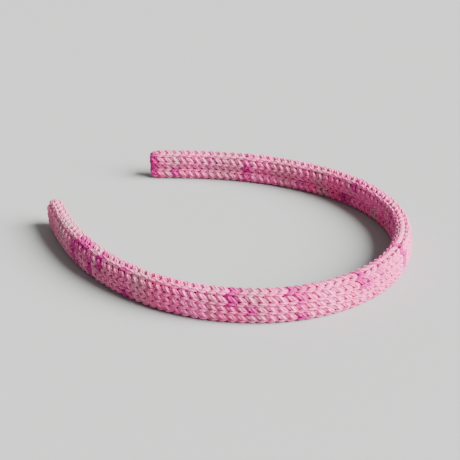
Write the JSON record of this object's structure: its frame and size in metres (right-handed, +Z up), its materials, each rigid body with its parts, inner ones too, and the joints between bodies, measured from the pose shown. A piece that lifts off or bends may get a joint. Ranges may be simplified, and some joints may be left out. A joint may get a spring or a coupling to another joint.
{
  "type": "headband",
  "caption": "Alice-style headband: a springy strip wrapped in wadding inside a hand-knitted tube that is closed at both ends.",
  "frame": {"origin": "centre of the bounding box's footprint, on the surface the band's lower edge rests on", "axes": "+X towards the crown, away from the open ends; +Y towards the right arm; +Z up, across the band's width"},
  "size_m": [0.1512, 0.1294, 0.013],
  "materials": {
    "core": "matte",
    "wadding": "matte",
    "knit": "matte",
    "seam_yarn": "matte",
    "gather_yarn": "matte",
    "cast_on_yarn": "matte"
  },
  "bodies": {
    "crown": {"core_crown": "core", "wadding_crown": "wadding", "sleeve_crown": "knit", "seam_crown": "seam_yarn"},
    "left_arm": {"core_left_arm": "core", "wadding_left_arm": "wadding", "sleeve_left_arm": "knit", "seam_left_arm": "seam_yarn", "bind_off_gather": "gather_yarn", "bind_off_knot": "gather_yarn"},
    "right_arm": {"core_right_arm": "core", "wadding_right_arm": "wadding", "sleeve_right_arm": "knit", "seam_right_arm": "seam_yarn", "cast_on_gather": "cast_on_yarn", "cast_on_knot": "cast_on_yarn"}
  },
  "joints": [
    {"name": "left_flex", "type": "hinge", "parent": "crown", "child": "left_arm", "pos_m": [0.06145, -0.03327, 0.0065], "axis": [0, 0, 1], "range_deg": [-6, 15], "stiffness_Nm_per_rad": 1.3},
    {"name": "right_flex", "type": "hinge", "parent": "crown", "child": "right_arm", "pos_m": [0.06145, 0.03327, 0.0065], "axis": [0, 0, -1], "range_deg": [-6, 15], "stiffness_Nm_per_rad": 1.3}
  ]
}
